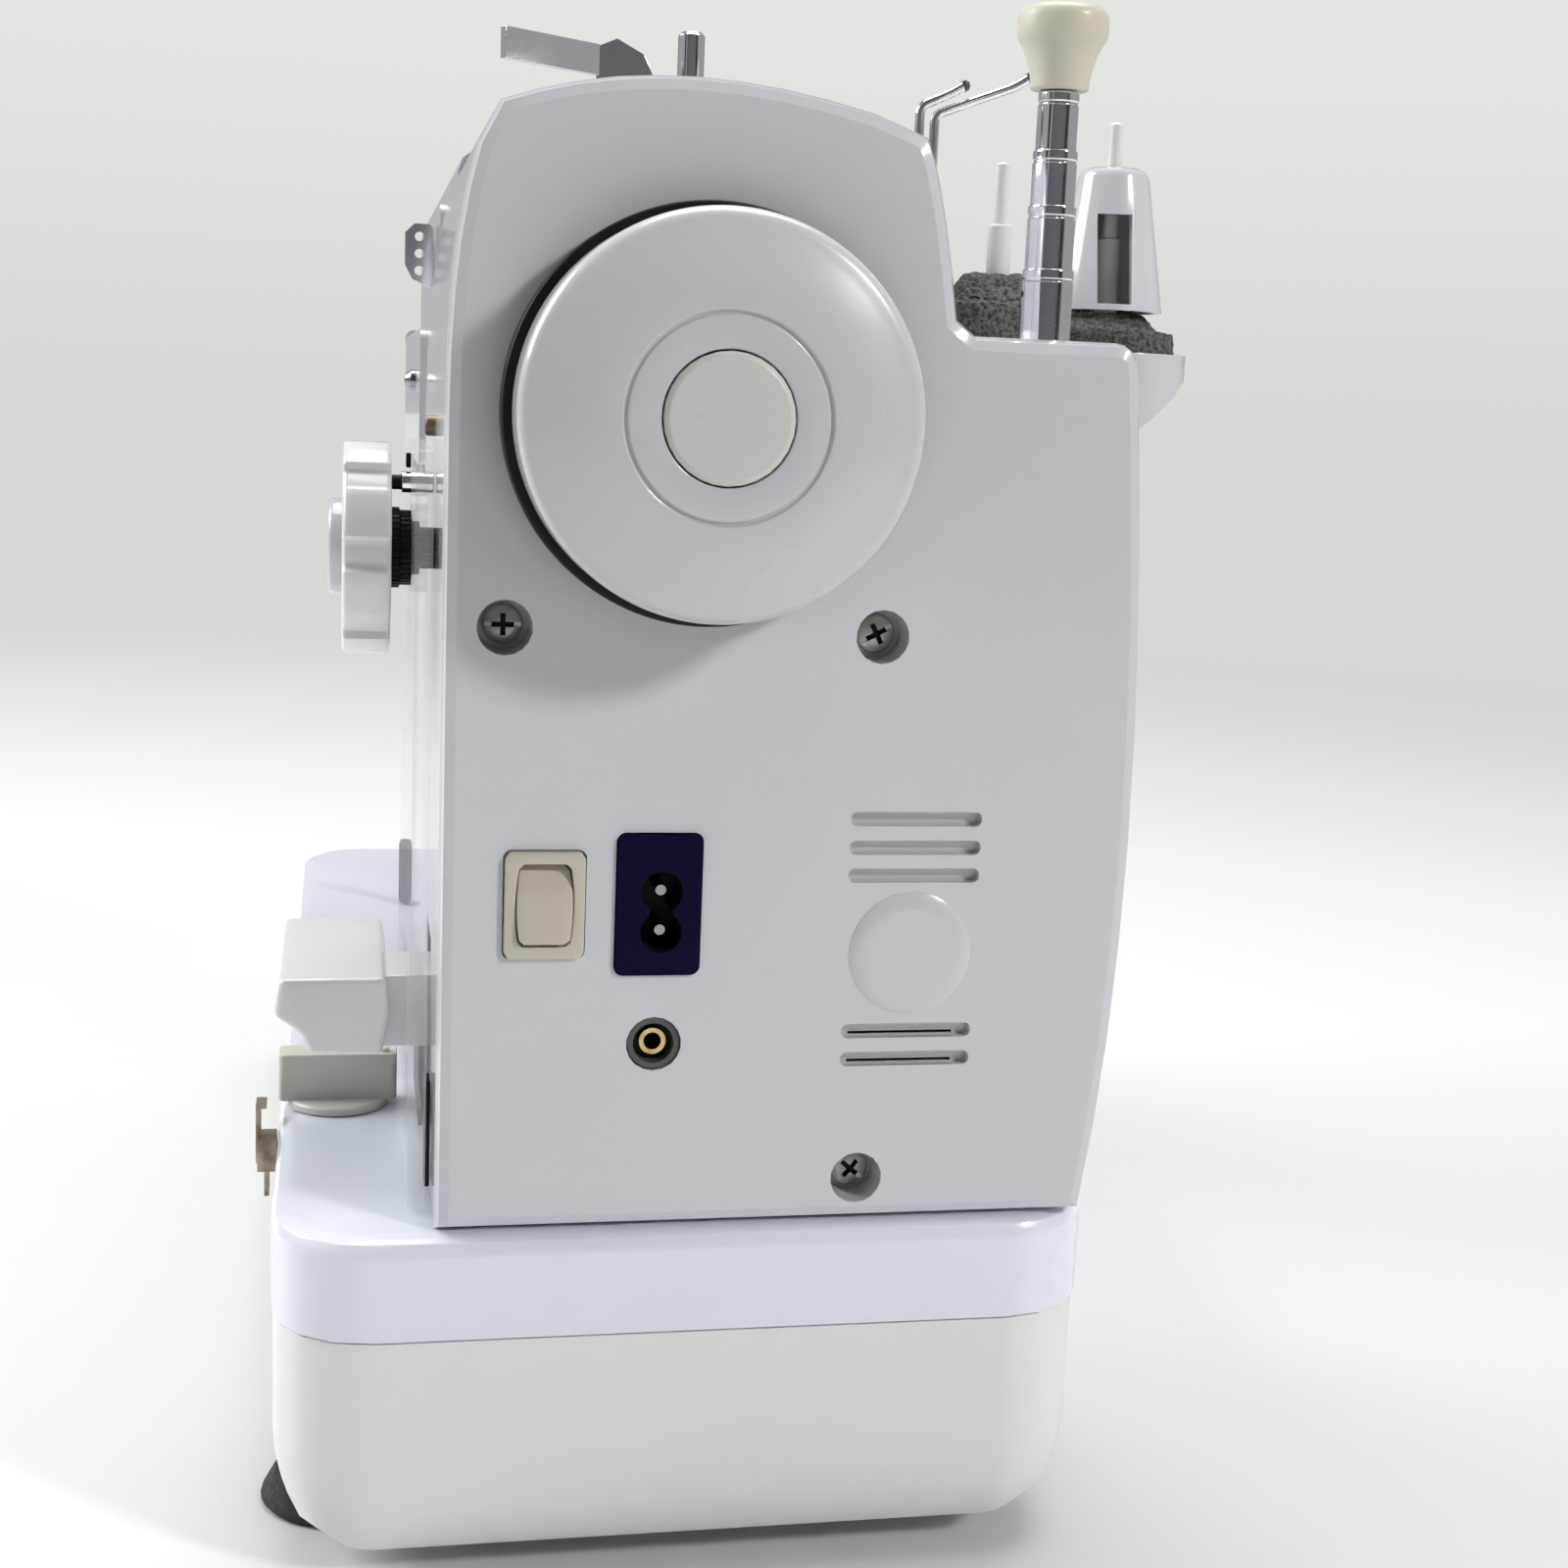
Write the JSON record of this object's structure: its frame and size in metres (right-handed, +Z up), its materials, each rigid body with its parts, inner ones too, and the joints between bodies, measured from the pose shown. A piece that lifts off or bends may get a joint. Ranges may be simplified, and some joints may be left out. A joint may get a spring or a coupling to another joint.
{
  "type": "flat-bed sewing machine",
  "caption": "Straight-stitch flat-bed sewing machine with end handwheel, stitch dial, reverse lever, feed-drop knob, bobbin winder and telescopic thread pole.",
  "frame": {"origin": "bottom centre of the machine's bounding box, on the table", "axes": "+X out along the main shaft to the handwheel end, +Y to the back, +Z up; the operator sits at -Y"},
  "size_m": [0.424, 0.2268, 0.3438],
  "materials": {
    "gloss_white": "gloss",
    "matte_white": "satin",
    "cream": "satin",
    "beige": "satin",
    "grey_green": "satin",
    "black": "satin",
    "black_rubber": "matte",
    "navy": "satin",
    "chrome": "polished",
    "steel": "satin",
    "bronze": "satin",
    "cast_alloy": "as cast",
    "foam": "open-cell foam",
    "clear": "clear acrylic",
    "white_metal": "gloss paint"
  },
  "bodies": {
    "machine": {"lower_base": "matte_white", "rubber_foot_1": "black_rubber", "rubber_foot_2": "black_rubber", "rubber_foot_3": "black_rubber", "rubber_foot_4": "black_rubber", "bed_casting": "white_metal", "needle_plate": "steel", "bed_bracket": "bronze", "column_housing": "gloss_white", "arm_housing": "gloss_white", "head_housing": "gloss_white", "side_cover": "gloss_white", "side_screw_1": "steel", "side_screw_2": "steel", "side_screw_3": "steel", "switch_frame": "beige", "power_inlet": "navy", "pedal_jack": "black", "main_frame": "cast_alloy", "motor": "steel", "motor_belt": "black_rubber", "timing_belt": "black_rubber", "dial_stop": "chrome", "clear_pane": "clear", "thread_guide": "chrome", "thread_wire_short": "chrome", "thread_wire_long": "chrome", "pole_base": "chrome", "spool_tray": "gloss_white", "spool_pin_near": "cream", "spool_pin_rear": "cream", "foam_mat_near": "foam", "foam_mat_rear": "foam"},
    "wheel": {"main_shaft": "steel", "handwheel": "gloss_white", "handwheel_cap": "grey_green", "handwheel_back": "black"},
    "rotor": {"motor_rotor": "steel"},
    "hook": {"lower_shaft": "steel", "rotary_hook": "steel"},
    "needle": {"needle_bar": "chrome"},
    "presser": {"presser_foot": "chrome"},
    "lifter": {"presser_lifter": "grey_green"},
    "take_up": {"take_up_lever": "chrome"},
    "tension": {"tension_dial": "gloss_white"},
    "dial": {"stitch_dial": "gloss_white", "dial_hub": "black"},
    "reverse": {"reverse_lever": "gloss_white"},
    "knob": {"feed_knob": "grey_green"},
    "dog": {"feed_dog": "steel"},
    "rocker": {"rocker_button": "beige"},
    "winder": {"winder_shaft": "chrome"},
    "winder_arm": {"winder_lever": "chrome"},
    "pole_1": {"pole_lower": "chrome"},
    "pole_2": {"pole_middle": "chrome"},
    "pole_3": {"pole_upper": "chrome", "pole_cap": "cream"},
    "cone": {"cone_holder": "gloss_white"},
    "face": {"face_cover": "gloss_white"},
    "cover": {"slide_cover": "steel"}
  },
  "joints": [
    {"name": "handwheel_turn", "type": "hinge", "parent": "machine", "child": "wheel", "pos_m": [0.18305, -0.02135, 0.2545], "axis": [1, 0, 0], "continuous": true},
    {"name": "motor_turn", "type": "hinge", "parent": "machine", "child": "rotor", "pos_m": [0.14305, 0.03615, 0.13], "axis": [1, 0, 0], "continuous": true},
    {"name": "hook_turn", "type": "hinge", "parent": "machine", "child": "hook", "pos_m": [0.12305, -0.02135, 0.048], "axis": [1, 0, 0], "continuous": true},
    {"name": "needle_stroke", "type": "slide", "parent": "machine", "child": "needle", "axis": [0, 0, 1], "range_m": [-0.034, 0]},
    {"name": "lifter_turn", "type": "hinge", "parent": "machine", "child": "lifter", "pos_m": [-0.11495, 0.01815, 0.162], "axis": [1, 0, 0], "range_deg": [0, 35]},
    {"name": "presser_rise", "type": "slide", "parent": "machine", "child": "presser", "axis": [0, 0, 1], "range_m": [0, 0.007]},
    {"name": "take_up_swing", "type": "hinge", "parent": "machine", "child": "take_up", "pos_m": [-0.10895, -0.03485, 0.245], "axis": [1, 0, 0], "range_deg": [-5, 35]},
    {"name": "tension_turn", "type": "hinge", "parent": "machine", "child": "tension", "pos_m": [-0.13495, -0.06985, 0.235], "axis": [0, 1, 0], "range_deg": [-150, 150]},
    {"name": "stitch_dial_turn", "type": "hinge", "parent": "machine", "child": "dial", "pos_m": [0.13805, -0.08785, 0.223], "axis": [0, 1, 0], "range_deg": [-40, 230]},
    {"name": "reverse_press", "type": "hinge", "parent": "machine", "child": "reverse", "pos_m": [0.13805, -0.05385, 0.12], "axis": [1, 0, 0], "range_deg": [0, 9], "stiffness_Nm_per_rad": 0.5, "springref_deg": -8.59},
    {"name": "feed_knob_turn", "type": "hinge", "parent": "machine", "child": "knob", "pos_m": [0.09405, -0.09395, 0.09], "axis": [0, 0, 1], "range_deg": [0, 90]},
    {"name": "feed_dog_drop", "type": "slide", "parent": "machine", "child": "dog", "axis": [0, 0, 1], "range_m": [-0.0025, 0]},
    {"name": "rocker_turn", "type": "hinge", "parent": "machine", "child": "rocker", "pos_m": [0.18205, -0.052, 0.15315], "axis": [0, 1, 0], "range_deg": [0, 14]},
    {"name": "winder_turn", "type": "hinge", "parent": "machine", "child": "winder", "pos_m": [0.11305, -0.01665, 0.3], "axis": [0, 0, 1], "continuous": true},
    {"name": "winder_arm_swing", "type": "hinge", "parent": "machine", "child": "winder_arm", "pos_m": [0.11505, -0.03185, 0.325], "axis": [0, 0, 1], "range_deg": [-8, 12]},
    {"name": "pole_lower_slide", "type": "slide", "parent": "machine", "child": "pole_1", "axis": [0, 0, 1], "range_m": [0, 0.06]},
    {"name": "pole_middle_slide", "type": "slide", "parent": "pole_1", "child": "pole_2", "axis": [0, 0, 1], "range_m": [0, 0.06]},
    {"name": "pole_upper_slide", "type": "slide", "parent": "pole_2", "child": "pole_3", "axis": [0, 0, 1], "range_m": [0, 0.06]},
    {"name": "cone_lift", "type": "slide", "parent": "machine", "child": "cone", "axis": [0, 0, 1], "range_m": [0, 0.045]},
    {"name": "face_open", "type": "hinge", "parent": "machine", "child": "face", "pos_m": [-0.1691, 0.02575, 0.23], "axis": [0, 0, -1], "range_deg": [0, 100]},
    {"name": "cover_slide", "type": "slide", "parent": "machine", "child": "cover", "axis": [-1, 0, 0], "range_m": [0, 0.045]}
  ],
  "couplings": [
    {"joint": "motor_turn", "follows": "handwheel_turn", "ratio": 3.75},
    {"joint": "hook_turn", "follows": "handwheel_turn", "ratio": 2},
    {"joint": "presser_rise", "follows": "lifter_turn", "m_per_rad": 0.0114},
    {"joint": "feed_dog_drop", "follows": "feed_knob_turn", "m_per_rad": -0.00159}
  ]
}
